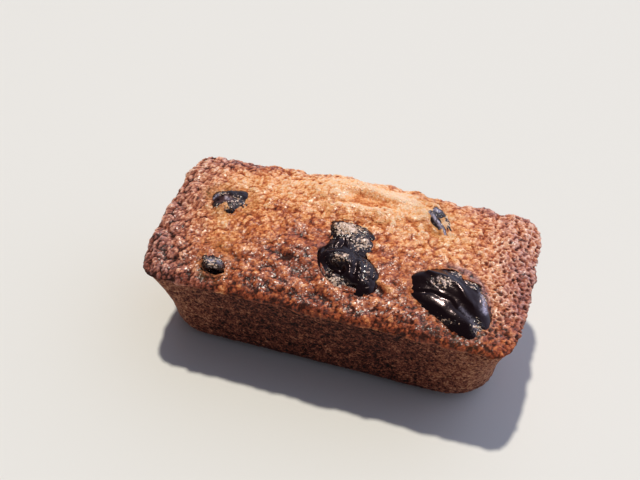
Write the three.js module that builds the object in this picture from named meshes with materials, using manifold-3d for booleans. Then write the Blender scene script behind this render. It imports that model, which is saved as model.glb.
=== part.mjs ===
// A financier: a small almond cake baked in a tapered tin, with five dark pieces of fruit sunk into its
// domed and cracked top. The cake is one solid crumb. Each piece of fruit lies in the socket that it
// pressed into the batter.
// Millimetres, +X along the cake, +Y to its back, +Z up, origin under the middle of the flat base.

import * as THREE from "three";
import { mergeVertices } from "three/addons/utils/BufferGeometryUtils.js";
import Module from "manifold-3d";

// Wall, as the tin shaped it
const RIM_LENGTH = 85.6;
const RIM_WIDTH = 40;
const END_BULGE = 1.4;
const RIM_HEIGHT = 25.2;
const RIM_CORNER_RADIUS = 4.7;
const BASE_CORNER_RADIUS = 9.5;
const BASE_EDGE_RADIUS = 4.8;
const WALL_FLARE = 3.8;

// How the rim rises out of level: to the back, to the right end, and half way along the front
const RIM_BACK_RISE = 1.4;
const RIM_RIGHT_RISE = 0.5;
const RIM_FRONT_CROWN = 0.8;
const RIM_ROUNDING = 0.7;

// Dome over the whole top, full in the middle and steep near the rim
const DOME_RISE = 3.6;
const DOME_POWER_ALONG = 4;
const DOME_POWER_ACROSS = 3;

// Crest near the back, where the crust burst and pale crumb pushed up
const CREST_RISE = 2.9;
const CREST_X = 2;
const CREST_Y = 14.5;
const CREST_HALF_LENGTH = 15;
const CREST_HALF_WIDTH = 6;

// Crack that opened along the front of the crest
const CRACK_DEPTH = 1.1;
const CRACK_X = 3;
const CRACK_Y = 12;
const CRACK_HALF_LENGTH = 6;
const CRACK_HALF_WIDTH = 1.3;

// Uneven surface: lumps of crust along the rim, smaller ones inside it, and a nearly smooth wall
const LUMP_PITCH = 3.2;
const RIM_LUMP = 0.75;
const RIM_BAND = 6;
const TOP_LUMP = 0.38;
const WALL_LUMP = 0.16;
const CRUST_DEPTH = 5;
const NOISE_SEED = 20417;

// Facets of the cake, in rows that gather toward the rounded edge of the base
const LENGTH_STEPS = 64;
const WIDTH_STEPS = 30;
const HEIGHT_STEPS = 10;
const LEVEL_POWER = 1.5;

// Fruit: its middle on the top of the cake, half sizes along, across and through, the turn of its long
// axis in degrees, how far it stands proud of the crumb, and the fineness of its facets. Its form: how far
// its ends are drawn to points, or made blunt below 0, its waist, its bow to one side, the shear of its
// sides along it, its lumps, and the places of its folds across it
const FRUITS = {
  fruit_front_right: {
    x: 26.8, y: -10.4, half: [11.5, 7.8, 4.6], turn: -26, proud: 2.3, detail: 6,
    point: 0.03, waist: 0, bow: 0.45, shear: 0, lump: 0.04, folds: [-0.25, 0.55],
  },
  fruit_centre: {
    x: 2.2, y: -4.7, half: [10.4, 8.9, 5.0], turn: -83, proud: 2.4, detail: 6,
    point: -0.11, waist: 0.3, bow: 0.12, shear: 0.29, lump: 0.1, folds: [],
  },
  fruit_back_left: {
    x: -28.4, y: 4.4, half: [6.0, 5.1, 3.4], turn: 10, proud: 1.3, detail: 3,
    point: 0.09, waist: 0, bow: -0.37, shear: 0, lump: 0.1, folds: [0],
  },
  fruit_front_left: {
    x: -25.5, y: -15.3, half: [3.4, 2.6, 2.6], turn: -38, proud: 1.3, detail: 3,
    point: 0, waist: 0, bow: 0, shear: 0, lump: 0.12, folds: [],
  },
  fruit_back_right: {
    x: 19.1, y: 10.4, half: [7.6, 3.5, 3.2], turn: -52, proud: 0.9, detail: 3,
    point: 0.05, waist: 0, bow: 0, shear: 0, lump: 0.07, folds: [0],
  },
};
const SOCKET_GAP = 0.35;

// Folds, waist and lumps of the fruit's skin, as shares of its half sizes
const FOLD_DEPTH = 0.09;
const FOLD_WIDTH = 0.17;
const FOLD_SLANT = 0.1;
const FOLD_FADE = 0.5;
const WAIST_PLACE = -0.18;
const WAIST_WIDTH = 0.31;
const SKIN_PITCH = 0.7;

const { clamp, degToRad, lerp, smoothstep } = THREE.MathUtils;
const wasm = await Module();
wasm.setup();

// A repeatable value from -1 to 1 for each corner of a whole-number grid
function cornerValue(i, j, k) {
  let hash = Math.imul(i, 374761393) + Math.imul(j, 668265263) + Math.imul(k, 974634777) + NOISE_SEED;
  hash = Math.imul(hash ^ (hash >>> 13), 1274126177);
  hash ^= hash >>> 16;
  return (hash >>> 0) / 2147483647.5 - 1;
}

// Smooth lumps from -1 to 1, about one pitch across
function lumps(x, y, z, pitch) {
  const cell = [x, y, z].map((value) => Math.floor(value / pitch));
  const blend = [x, y, z].map((value, axis) => smoothstep(value / pitch - cell[axis], 0, 1));
  const along = (j, k) => {
    const left = cornerValue(cell[0], cell[1] + j, cell[2] + k);
    const right = cornerValue(cell[0] + 1, cell[1] + j, cell[2] + k);
    return lerp(left, right, blend[0]);
  };
  const across = (k) => lerp(along(0, k), along(1, k), blend[1]);
  return lerp(across(0), across(1), blend[2]);
}

// Height of a bump that is 1 at its middle and fades over its half sizes
function bump(dx, dy, halfX, halfY) {
  return Math.exp(-((dx / halfX) ** 2) - (dy / halfY) ** 2);
}

// Height of the rim where it is nearest to (x, y)
function rimHeight(x, y) {
  const u = (2 * x) / RIM_LENGTH;
  const v = (2 * y) / RIM_WIDTH;
  const crown = RIM_FRONT_CROWN * (1 - u * u) * Math.max(0, -v) ** 4;
  return RIM_HEIGHT + RIM_BACK_RISE * v + RIM_RIGHT_RISE * u + crown;
}

// Height of the top at (x, y), before its lumps
function topHeight(x, y) {
  const u = Math.abs((2 * x) / RIM_LENGTH);
  const v = Math.abs((2 * y) / RIM_WIDTH);
  const dome = DOME_RISE * (1 - u ** DOME_POWER_ALONG) * (1 - v ** DOME_POWER_ACROSS);
  const crest = CREST_RISE * bump(x - CREST_X, y - CREST_Y, CREST_HALF_LENGTH, CREST_HALF_WIDTH);
  const crack = CRACK_DEPTH * bump(x - CRACK_X, y - CRACK_Y, CRACK_HALF_LENGTH, CRACK_HALF_WIDTH);
  return rimHeight(x, y) + dome + crest - crack;
}

// How far the wall lies inside the rim at a height
function wallInset(height) {
  const flare = WALL_FLARE * (1 - (height / RIM_HEIGHT) ** 2);
  const below = Math.max(0, BASE_EDGE_RADIUS - height);
  const rounding = BASE_EDGE_RADIUS - Math.sqrt(BASE_EDGE_RADIUS ** 2 - below ** 2);
  return flare + rounding;
}

// The point of a rounded rectangle's outline that (u, v) on the edge of a square from -1 to 1 maps to,
// with the direction out of the outline there
function outlinePoint(u, v, inset, cornerRadius) {
  const halfLength = RIM_LENGTH / 2 - inset;
  const halfWidth = RIM_WIDTH / 2 - inset;
  const straightLength = halfLength - cornerRadius;
  const straightWidth = halfWidth - cornerRadius;
  const core = new THREE.Vector2(
    clamp(u * halfLength, -straightLength, straightLength),
    clamp(v * halfWidth, -straightWidth, straightWidth),
  );
  const out = new THREE.Vector2(u * halfLength, v * halfWidth).sub(core).normalize();
  const point = core.addScaledVector(out, cornerRadius);
  point.x *= 1 - (END_BULGE / halfLength) * (point.y / halfWidth) ** 2;
  return { point, out };
}

// Where a point of a box lands on the cake: u and v from -1 to 1 across it, level from 0 at the base to 1
function cakePoint(u, v, level) {
  const reach = Math.max(Math.abs(u), Math.abs(v), Number.EPSILON);
  const fraction = level ** LEVEL_POWER;
  const nominalHeight = fraction * RIM_HEIGHT;
  const cornerRadius = lerp(BASE_CORNER_RADIUS, RIM_CORNER_RADIUS, fraction);
  const { point, out } = outlinePoint(u / reach, v / reach, wallInset(nominalHeight), cornerRadius);
  point.multiplyScalar(reach);

  // The flat base is a fan: all that lies inside its edge meets at the middle
  if (level === 0) {
    return reach < 1 ? new THREE.Vector3() : new THREE.Vector3(point.x, point.y, 0);
  }
  if (reach < 1) {
    const toRim = (1 - reach) * RIM_WIDTH / 2;
    const size = lerp(RIM_LUMP, TOP_LUMP, smoothstep(toRim, 0, RIM_BAND));
    const top = topHeight(point.x, point.y);
    return new THREE.Vector3(point.x, point.y, top + size * lumps(point.x, point.y, top, LUMP_PITCH));
  }
  const rim = level === 1 ? topHeight(point.x, point.y) - RIM_ROUNDING : rimHeight(point.x, point.y);
  const height = fraction * rim;
  const crust = smoothstep(height, RIM_HEIGHT - CRUST_DEPTH, RIM_HEIGHT);
  const size = lerp(WALL_LUMP, RIM_LUMP, crust);
  point.addScaledVector(out, size * lumps(point.x, point.y, height, LUMP_PITCH));
  return new THREE.Vector3(point.x, point.y, height);
}

// Moves every vertex of a geometry, then joins those that meet
function reshape(geometry, place) {
  geometry.deleteAttribute("normal");
  geometry.deleteAttribute("uv");
  const position = geometry.attributes.position;
  for (let index = 0; index < position.count; index++) {
    const placed = place(new THREE.Vector3().fromBufferAttribute(position, index));
    position.setXYZ(index, placed.x, placed.y, placed.z);
  }
  const joined = mergeVertices(geometry);
  joined.computeVertexNormals();
  return joined;
}

function cakeGeometry() {
  const box = new THREE.BoxGeometry(2, 2, 1, LENGTH_STEPS, WIDTH_STEPS, HEIGHT_STEPS);
  return reshape(box, ({ x, y, z }) => cakePoint(x, y, z + 0.5));
}

// A collapsed fruit: a ball squeezed to its half sizes, drawn to points, pinched at its waist, bowed to one
// side and sheared, with folds along its upper side
function fruitGeometry({ x, half, point, waist, bow, shear, lump, folds, detail }, grow) {
  const size = new THREE.Vector3(...half).addScalar(grow);
  return reshape(new THREE.IcosahedronGeometry(1, detail), (way) => {
    let radius = 1 + lump * lumps(way.x + x, way.y, way.z, SKIN_PITCH);
    for (const place of folds) {
      const groove = Math.exp(-(((way.y - place - FOLD_SLANT * way.x) / FOLD_WIDTH) ** 2));
      radius -= FOLD_DEPTH * groove * smoothstep(way.z, 0, FOLD_FADE);
    }
    const pinch = 1 - waist * Math.exp(-(((way.x - WAIST_PLACE) / WAIST_WIDTH) ** 2));
    const girth = pinch * Math.max(Number.EPSILON, 1 - way.x ** 2) ** point;
    const skin = way.clone().multiplyScalar(radius).multiply(size).multiply(new THREE.Vector3(1, girth, girth));
    const aside = bow * half[1] * (0.5 - way.x ** 2);
    return new THREE.Vector3(skin.x + shear * skin.y, skin.y + aside, skin.z);
  });
}

// Sets a fruit into the slope of the cake's top
function placeFruit(object, { x, y, half, turn, proud }) {
  const rest = topHeight(x, y);
  const vertical = new THREE.Vector3(0, 0, 1);
  const up = new THREE.Vector3(rest - topHeight(x + 1, y), rest - topHeight(x, y + 1), 1).normalize();
  const lean = new THREE.Quaternion().setFromUnitVectors(vertical, up);
  object.quaternion.setFromAxisAngle(vertical, degToRad(turn)).premultiply(lean);
  object.position.set(x, y, rest).addScaledVector(up, proud - half[2]);
  object.updateMatrix();
  return object;
}

function toSolid(geometry) {
  return new wasm.Manifold(new wasm.Mesh({
    numProp: 3,
    vertProperties: new Float32Array(geometry.attributes.position.array),
    triVerts: new Uint32Array(geometry.index.array),
  }));
}

function toGeometry(solid) {
  const { vertProperties, triVerts } = solid.getMesh();
  const geometry = new THREE.BufferGeometry();
  geometry.setAttribute("position", new THREE.BufferAttribute(vertProperties, 3));
  geometry.setIndex(new THREE.BufferAttribute(triVerts, 1));
  geometry.computeVertexNormals();
  return geometry;
}

const crumb = new THREE.MeshStandardMaterial({ color: 0xb5713a, roughness: 0.75, metalness: 0 });
const fruitSkin = new THREE.MeshStandardMaterial({ color: 0x1c1016, roughness: 0.25, metalness: 0 });

const financier = new THREE.Group();
let cakeSolid = toSolid(cakeGeometry());
for (const [name, fruit] of Object.entries(FRUITS)) {
  const mesh = placeFruit(new THREE.Mesh(fruitGeometry(fruit, 0), fruitSkin), fruit);
  mesh.name = name;
  financier.add(mesh);
  const socket = fruitGeometry(fruit, SOCKET_GAP).applyMatrix4(mesh.matrix);
  cakeSolid = cakeSolid.subtract(toSolid(socket));
}

const cake = new THREE.Mesh(toGeometry(cakeSolid), crumb);
cake.name = "cake_body";
financier.add(cake);

// The lumps move the outline a little, so the whole is set back over the middle of its base
const extent = new THREE.Box3().setFromObject(financier);
const middle = extent.getCenter(new THREE.Vector3());
financier.position.set(-middle.x, -middle.y, -extent.min.z);

export default financier;
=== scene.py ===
import math

import bpy
import numpy as np
from mathutils import Matrix, Vector
from mathutils.bvhtree import BVHTree


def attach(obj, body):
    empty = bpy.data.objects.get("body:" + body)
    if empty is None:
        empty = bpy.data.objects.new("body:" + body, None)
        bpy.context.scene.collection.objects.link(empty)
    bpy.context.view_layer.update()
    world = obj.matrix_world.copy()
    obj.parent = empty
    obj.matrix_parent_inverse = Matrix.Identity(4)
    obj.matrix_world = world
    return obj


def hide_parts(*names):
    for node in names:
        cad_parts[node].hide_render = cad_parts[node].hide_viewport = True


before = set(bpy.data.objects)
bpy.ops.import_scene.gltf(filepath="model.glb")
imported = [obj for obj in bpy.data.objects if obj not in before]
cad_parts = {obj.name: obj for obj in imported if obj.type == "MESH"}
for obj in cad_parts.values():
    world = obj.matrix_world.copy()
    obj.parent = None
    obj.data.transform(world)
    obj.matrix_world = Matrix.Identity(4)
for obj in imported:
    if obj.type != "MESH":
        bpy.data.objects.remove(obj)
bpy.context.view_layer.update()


# Cake body: form
# A small loaf of almond crumb, baked in a tapered tin and turned out whole. The tin left plain, flared
# walls and a flat base. The top rose into a dome, burst near the back and cracked there.
# Sizes are in millimetres.

MM = 0.001
RIM_LENGTH = 85.6
RIM_WIDTH = 40.0
END_BULGE = 1.4
RIM_HEIGHT = 25.2
RIM_CORNER_RADIUS = 4.7
BASE_CORNER_RADIUS = 9.5
BASE_EDGE_RADIUS = 4.8
WALL_FLARE = 3.8
RIM_BACK_RISE = 1.4
RIM_RIGHT_RISE = 0.5
RIM_FRONT_CROWN = 0.8
RIM_ROUNDING = 0.45
RIM_ROUNDING_BAND = 0.9
DOME_RISE = 3.6
DOME_POWER_ALONG = 4
DOME_POWER_ACROSS = 3
CREST_RISE = 2.9
CREST_MIDDLE = (2.0, 14.5)
CREST_HALF = (15.0, 6.0)
CRACK_DEPTH = 1.1
CRACK_MIDDLE = (3.0, 12.0)
CRACK_HALF = (6.0, 1.3)
LUMP_PITCH = 3.2
RIM_LUMP = 0.75
RIM_BAND = 6.0
TOP_LUMP = 0.38
WALL_LUMP = 0.16
CRUST_DEPTH = 5.0
NOISE_SEED = 20417
NOISE_PRIMES = (374761393, 668265263, 974634777)
NOISE_MIXER = 1274126177
NOISE_SHIFTS = (13, 16)
NOISE_TOP = 2**32 - 1
TINY = 1e-9

LENGTH_STEPS = 352
WIDTH_STEPS = 164
WALL_ROWS = 38
ROW_POWER = 1.4
STRAIGHT_STEPS = 200
EDGE_STEPS = 60


def smooth_step(value, low, high):
    share = np.clip((value - low) / (high - low), 0, 1)
    return share * share * (3 - 2 * share)


def blend(start, end, share):
    return start + (end - start) * share


def bump(points, middle, half):
    """A bump that is 1 at its middle and fades over its half sizes along X and Y."""
    along = (points[:, 0] - middle[0]) / half[0]
    across = (points[:, 1] - middle[1]) / half[1]
    return np.exp(-(along**2) - across**2)


def corner_value(cell):
    """A repeatable value from -1 to 1 for each corner of a whole-number grid."""
    first, second, third = NOISE_PRIMES
    mixed = cell[:, 0] * first + cell[:, 1] * second + cell[:, 2] * third + NOISE_SEED
    mixed = mixed & NOISE_TOP
    mixed = ((mixed ^ (mixed >> NOISE_SHIFTS[0])) * NOISE_MIXER) & NOISE_TOP
    return (mixed ^ (mixed >> NOISE_SHIFTS[1])) / (NOISE_TOP / 2) - 1


def lumps(points, pitch):
    """Smooth lumps from -1 to 1, about one pitch across."""
    scaled = points / pitch
    cell = np.floor(scaled).astype(np.int64)
    share = smooth_step(scaled - cell, 0, 1)
    total = np.zeros(len(points))
    for corner in np.ndindex(2, 2, 2):
        weight = np.prod(np.where(corner, share, 1 - share), axis=1)
        total += weight * corner_value(cell + np.array(corner))
    return total


def rim_height(x, y):
    u = 2 * x / RIM_LENGTH
    v = 2 * y / RIM_WIDTH
    crown = RIM_FRONT_CROWN * (1 - u * u) * np.maximum(0, -v) ** 4
    return RIM_HEIGHT + RIM_BACK_RISE * v + RIM_RIGHT_RISE * u + crown


def top_height(points):
    u = np.abs(2 * points[:, 0] / RIM_LENGTH)
    v = np.abs(2 * points[:, 1] / RIM_WIDTH)
    dome = DOME_RISE * (1 - u**DOME_POWER_ALONG) * (1 - v**DOME_POWER_ACROSS)
    crest = CREST_RISE * bump(points, CREST_MIDDLE, CREST_HALF)
    crack = CRACK_DEPTH * bump(points, CRACK_MIDDLE, CRACK_HALF)
    return rim_height(points[:, 0], points[:, 1]) + dome + crest - crack


def wall_inset(height):
    """How far the wall lies inside the rim at a height."""
    flare = WALL_FLARE * (1 - (height / RIM_HEIGHT) ** 2)
    below = np.maximum(0, BASE_EDGE_RADIUS - height)
    return flare + BASE_EDGE_RADIUS - np.sqrt(BASE_EDGE_RADIUS**2 - below**2)


def outline(u, v, inset, corner_radius):
    """Points of a rounded rectangle that the edge of a square from -1 to 1 maps to, and the way out."""
    half = np.stack([RIM_LENGTH / 2 - inset, RIM_WIDTH / 2 - inset], axis=1)
    target = np.stack([u, v], axis=1) * half
    core = np.clip(target, corner_radius[:, None] - half, half - corner_radius[:, None])
    out = target - core
    out /= np.maximum(np.linalg.norm(out, axis=1, keepdims=True), TINY)
    points = core + out * corner_radius[:, None]
    points[:, 0] *= 1 - END_BULGE / half[:, 0] * (points[:, 1] / half[:, 1]) ** 2
    return points, out


def top_grid():
    """The top as a grid of rings round its middle: points, distance to the rim, and the grid's u and v."""
    across = np.linspace(-1, 1, WIDTH_STEPS + 1)
    along = np.linspace(-1, 1, LENGTH_STEPS + 1)
    v, u = np.meshgrid(across, along, indexing="ij")
    u = u.ravel()
    v = v.ravel()
    reach = np.maximum(np.maximum(np.abs(u), np.abs(v)), TINY)
    flat = np.zeros(len(u))
    plan, _ = outline(u / reach, v / reach, flat, flat + RIM_CORNER_RADIUS)
    points = np.column_stack([plan * reach[:, None], flat])
    points[:, 2] = top_height(points)
    to_rim = (1 - reach) * RIM_WIDTH / 2
    size = blend(RIM_LUMP, TOP_LUMP, smooth_step(to_rim, 0, RIM_BAND))
    points[:, 2] += size * lumps(points, LUMP_PITCH)
    points[:, 2] -= RIM_ROUNDING * np.maximum(0, 1 - to_rim / RIM_ROUNDING_BAND) ** 2
    return points, to_rim, u, v


def wall_heights():
    """Heights of the wall's rows, close together under the rim and wider apart towards the base."""
    straight = np.linspace(RIM_HEIGHT, BASE_EDGE_RADIUS, STRAIGHT_STEPS)
    rounded = BASE_EDGE_RADIUS * (1 - np.sin(np.linspace(0, math.pi / 2, EDGE_STEPS)))
    heights = np.concatenate([straight, rounded[1:]])
    steps = np.hypot(np.diff(heights), np.diff(wall_inset(heights)))
    run = np.concatenate([[0], np.cumsum(steps)])
    shares = np.linspace(0, 1, WALL_ROWS + 1)[1:] ** ROW_POWER
    return np.interp(shares * run[-1], run, heights)


def wall_ring(u, v, nominal_height):
    """One row of the wall: points, and depth below the rim."""
    fraction = nominal_height / RIM_HEIGHT
    flat = np.zeros(len(u))
    corner_radius = flat + blend(BASE_CORNER_RADIUS, RIM_CORNER_RADIUS, fraction)
    plan, out = outline(u, v, flat + wall_inset(nominal_height), corner_radius)
    rim = rim_height(plan[:, 0], plan[:, 1]) - RIM_ROUNDING
    points = np.column_stack([plan, fraction * rim])
    size = blend(WALL_LUMP, RIM_LUMP, smooth_step(points[:, 2], RIM_HEIGHT - CRUST_DEPTH, RIM_HEIGHT))
    points[:, :2] += out * (size * lumps(points, LUMP_PITCH))[:, None]
    return points, rim * (1 - fraction)


def rim_ring():
    """Numbers of the grid's edge points, anticlockwise from the front left corner."""
    size = (WIDTH_STEPS + 1, LENGTH_STEPS + 1)
    number = np.arange(math.prod(size)).reshape(size)
    return np.concatenate([number[0, :-1], number[:-1, -1], number[-1, :0:-1], number[:0:-1, 0]])


top_points, to_rim, top_u, top_v = top_grid()
ring = rim_ring()
rows = [wall_ring(top_u[ring], top_v[ring], height) for height in wall_heights()]
base_middle = np.zeros((1, 3))
body_points = np.concatenate([top_points] + [points for points, _ in rows] + [base_middle])
below_rim = np.concatenate([np.zeros(len(top_points))] + [depth for _, depth in rows] + [[RIM_HEIGHT]])
to_rim = np.concatenate([to_rim, np.zeros(len(body_points) - len(top_points))])
on_top = np.arange(len(body_points)) < len(top_points)
body_points[:, :2] -= (body_points[:, :2].max(axis=0) + body_points[:, :2].min(axis=0)) / 2

number = np.arange(len(top_points)).reshape(WIDTH_STEPS + 1, LENGTH_STEPS + 1)
top_corners = [number[:-1, :-1], number[:-1, 1:], number[1:, 1:], number[1:, :-1]]
top_quads = np.stack(top_corners, axis=2).reshape(-1, 4)
lower_rings = len(top_points) + np.arange(WALL_ROWS * len(ring)).reshape(WALL_ROWS, -1)
rings = np.concatenate([ring[None], lower_rings])
turned = np.roll(rings, -1, axis=1)
wall_corners = [rings[:-1], rings[1:], turned[1:], turned[:-1]]
wall_quads = np.stack(wall_corners, axis=2).reshape(-1, 4)
base_fan = np.column_stack([np.full(len(ring), len(body_points) - 1), turned[-1], rings[-1]])
body_quads = np.concatenate([top_quads, wall_quads])


# Cake body: sockets
# The fruit was pressed into the batter, which rose and set round it. The crumb climbs a little way up the
# fruit here and there as a thin ragged film, then runs down inside the fruit's skin, out of sight.

MOAT_DEPTHS = {"fruit_front_right": 0.35, "fruit_centre": 0.35}
MOAT_WIDTH = 1.6
MOAT_SIDE = (-1.0, 2.0)
SOCKET_SEARCH = 1.5
FAR_AWAY = 99.0
FILM_CLIMB = 0.06
FILM_PITCH = 1.0
FILM_SHIFT = 20
CLIMB_SEEN = (0.03, 0.2)
FILM_THICKNESS = 0.035
UNEVEN_MEAN = 0.75
UNEVEN_SIZE = 0.35
UNEVEN_PITCH = 2.2
LINING_REACH = 0.95
FILM_SHARE = 0.70
LINING_SHARE = 0.58
HIDDEN_BARE = (0.0, 0.3)
HIDDEN_FILM = (0.75, 1.0)
# Each place has its middle, its half sizes and how far the film climbs there, in radians.
FILM_PLACES = (
    ((25.5, -2.8), (2.5, 2.0), 0.50),
    ((29.5, -3.2), (3.0, 2.5), 1.05),
    ((34.0, -6.0), (2.0, 2.5), 0.85),
    ((1.5, 4.0), (4.0, 1.5), 0.20),
    ((-1.6, -3.2), (2.0, 1.2), 0.15),
    ((-28.8, -0.4), (2.4, 1.6), 0.75),
    ((-24.0, 1.5), (1.8, 2.5), 0.50),
    ((22.5, 9.6), (2.5, 4.0), 1.30),
    ((15.4, 10.8), (1.9, 3.8), 1.25),
    ((-28.0, -14.0), (1.5, 1.5), 0.70),
    ((-25.5, -12.8), (1.8, 1.0), 0.60),
    ((-23.0, -17.5), (1.2, 1.2), 0.60),
)


def node_points(name):
    """Vertices of a CAD node in millimetres."""
    return np.array([vertex.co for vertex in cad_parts[name].data.vertices]) / MM


def fruit_ball(name):
    """Middle, axes (long, across, up, as columns) and half sizes of the ball round a fruit."""
    points = node_points(name)
    _, _, ways = np.linalg.svd(points - points.mean(axis=0), full_matrices=False)
    along = ways[0] * np.sign(ways[0, 0])
    up = np.array([0, 0, 1]) - along[2] * along
    up /= np.linalg.norm(up)
    axes = np.column_stack([along, np.cross(up, along), up])
    local = points @ axes
    middle = axes @ (local.max(axis=0) + local.min(axis=0)) / 2
    return middle, axes, np.ptp(local, axis=0) / 2


def skin_distances(name, middle, ways):
    """How far a fruit's skin lies from its middle along each way."""
    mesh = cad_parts[name].data
    faces = [tuple(polygon.vertices) for polygon in mesh.polygons]
    tree = BVHTree.FromPolygons([tuple(point) for point in node_points(name)], faces)
    return np.array([tree.ray_cast(Vector(middle), Vector(way))[3] for way in ways])


def film_climb(points):
    """How far round a fruit the film of crumb climbs at each point, in radians."""
    climb = FILM_CLIMB * np.clip(0.5 + lumps(points + FILM_SHIFT, FILM_PITCH), 0, 1)
    uneven = UNEVEN_MEAN + UNEVEN_SIZE * lumps(points + FILM_SHIFT, UNEVEN_PITCH)
    for place, spread, more in FILM_PLACES:
        climb += more * uneven * bump(points, place, spread)
    return climb


def press_socket(points, name):
    """Lines a fruit's buried side with the top's points that lie inside it, and dips the crumb before it.
    Returns each point's distance to the fruit's edge, negative inside, and 1 if it shows, else 0."""
    middle, axes, half = fruit_ball(name)
    local = (points - middle) @ axes / half
    size = np.linalg.norm(local, axis=1)
    near = np.nonzero(size < SOCKET_SEARCH)[0]
    offset = points[near] - middle
    length = np.linalg.norm(offset, axis=1)
    filled = length / skin_distances(name, middle, offset / length[:, None])
    edge_distance = np.full(len(points), FAR_AWAY)
    edge_distance[near] = (filled - 1) * half[:2].mean()

    inside = near[filled < 1]
    filled = filled[filled < 1]
    deepest = filled.min()
    share = np.sqrt((filled**2 - deepest**2) / (1 - deepest**2))
    contact = np.arccos(np.clip(local[inside, 2] * filled / size[inside], -1, 1))
    climb = film_climb(points[inside])
    film_share = np.clip((1 - share) / (1 - FILM_SHARE), 0, 1)
    lining_share = np.clip(1 - share / LINING_SHARE, 0, 1)
    front_side = smooth_step(middle[1] - points[:, 1], *MOAT_SIDE)
    moat_depth = MOAT_DEPTHS.get(name, 0.0)
    contact += moat_depth / half[2] * front_side[inside]
    angle = contact - climb * film_share + (math.pi - contact + climb) * lining_share
    sideways = local[inside, :2]
    sideways = sideways / np.maximum(np.linalg.norm(sideways, axis=1, keepdims=True), TINY)
    ways = np.column_stack([sideways * np.sin(angle)[:, None], np.cos(angle)]) * half @ axes.T
    ways /= np.linalg.norm(ways, axis=1, keepdims=True)
    climbing = smooth_step(climb, *CLIMB_SEEN)
    film_reach = blend(1, blend(LINING_REACH, 1 + FILM_THICKNESS, climbing), film_share)
    under_skin = smooth_step(FILM_SHARE - share, 0, FILM_SHARE - LINING_SHARE)
    reach = blend(film_reach, LINING_REACH, under_skin)
    points[inside] = middle + ways * (skin_distances(name, middle, ways) * reach)[:, None]
    hidden_from, hidden_to = (blend(*ends, climbing) for ends in zip(HIDDEN_BARE, HIDDEN_FILM))
    shown = np.ones(len(points))
    shown[inside] = 1 - smooth_step(film_share, hidden_from, hidden_to)
    outside = edge_distance > 0
    moat = moat_depth * front_side[outside]
    points[outside, 2] -= moat * np.exp(-((edge_distance[outside] / MOAT_WIDTH) ** 2))
    return edge_distance, shown


fruit_names = sorted(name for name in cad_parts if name.startswith("fruit_"))
fruit_edge = {}
crumb_shown = np.ones(len(body_points))
for fruit_name in fruit_names:
    moved = body_points[on_top]
    distance, shown = press_socket(moved, fruit_name)
    body_points[on_top] = moved
    crumb_shown[on_top] *= shown
    rest = np.full(len(body_points) - len(moved), FAR_AWAY)
    fruit_edge[fruit_name] = np.concatenate([distance, rest])


# Cake body: crust
# Where the top met hot air and tin it dried into clusters, grains and burst bubbles, most of all along the
# rim. Inside the rim the grains are finer, the front half is wrinkled and the burst crest nearly smooth.

CLUSTER_PITCH = 2.9
LEFT_CLUSTER = 0.85
RIM_CLUSTER = 0.65
TOP_CLUSTER = 0.55
GRAIN_PITCH = 1.35
GRAIN_SCATTER = 0.42
GRAIN_REACH = 0.95
GRAIN_UNEVEN = 0.3
GRAIN_MEAN = 0.7
RIM_GRAIN = 0.55
TOP_GRAIN = 0.46
FINE_PITCH = 0.68
RIM_FINE = 0.34
TOP_FINE = 0.20
BUBBLE_PITCH = 1.15
BUBBLE_DEPTH = 0.60
BUBBLE_MEAN = 0.3
BUBBLE_WALL = (0.04, 0.42)
WRINKLE_PITCH = 2.4
WRINKLE_STRETCH = 2.4
WRINKLE_SIZE = 1.15
GRAIN_STRETCH = 1.8
WALL_GRAIN = 0.12
WALL_FINE = 0.12
WALL_BUBBLE = 0.18
LIP_OUT = 0.10
LIP_DROP = 0.6
BASE_BAND = (0, 2.5)
FRUIT_SLOPE = 0.4
LEDGE_RISE = 0.9
LEDGE_MIDDLE = (3.5, 9.2)
LEDGE_HALF = 8.0
LEDGE_SLANT = 0.08
RECESS = ((3.2, 10.6), (4.5, 1.5), -0.35)
RECESS_END = ((7.0, 12.4), (3.5, 1.3), 0.55)
BULGE = ((-6.0, 11.0), (3.5, 3.5), 0.6)
SOFT_LUMP_PITCH = 3.6
SOFT_LUMP = 0.7
HOLES = ((6.1, 9.2), (7.3, 8.8), (4.9, 9.6), (-5.0, 8.3), (-9.0, 13.0))
HOLE_HALF = (0.45, 0.35)
HOLE_DEPTH = -0.6
# Each scale has its rounds of smoothing, the depth of a full hollow and its share.
HOLLOW_SCALES = ((30, 0.40, 0.50), (8, 0.22, 0.55), (2, 0.07, 0.15))
FILM_ROUNDS = 6
# A zone begins and ends at two distances, and a patch has its middle and its half sizes.
CRUST_BAND = (0.5, 8.5)
CRUST_DROP = (0.5, 3.0)
WALL_DROP = (0.15, 1.1)
LEFT_END = (18, 38)
RIGHT_END = (12, 34)
FOAM_END = (24, 38)
FRONT_SIDE = (13, 18)
FRONT_BAND = (0.3, 2.5)
PALE_CREST = ((5.0, 12.0), (14.0, 6.0))
WRINKLED_FRONT = ((-4.0, -10.0), (20.0, 8.0))
SANDY_LEFT = ((-24.0, -2.0), (11.0, 11.0))
SOFT_LUMP_PLACE = ((13.5, 7.5), (5.0, 5.0))
WAVE_SIZE = 0.9
WAVE_PITCH = 3.1
RIPPLE_SIZE = 0.24
RIPPLE_PITCH = 0.8
RIPPLE_SHIFT = 10
SLANT = 0.25
LEDGE_FACE = (-0.7, 0.7)
LEDGE_BACK = (1.0, 6.0)


def vertex_normals(points, quads):
    """The way out of the surface at each vertex."""
    cross = np.cross(points[quads[:, 2]] - points[quads[:, 0]], points[quads[:, 3]] - points[quads[:, 1]])
    normals = np.zeros_like(points)
    for corner in range(4):
        for axis in range(3):
            normals[:, axis] += np.bincount(quads[:, corner], cross[:, axis], len(points))
    return normals / np.maximum(np.linalg.norm(normals, axis=1, keepdims=True), TINY)


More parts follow.
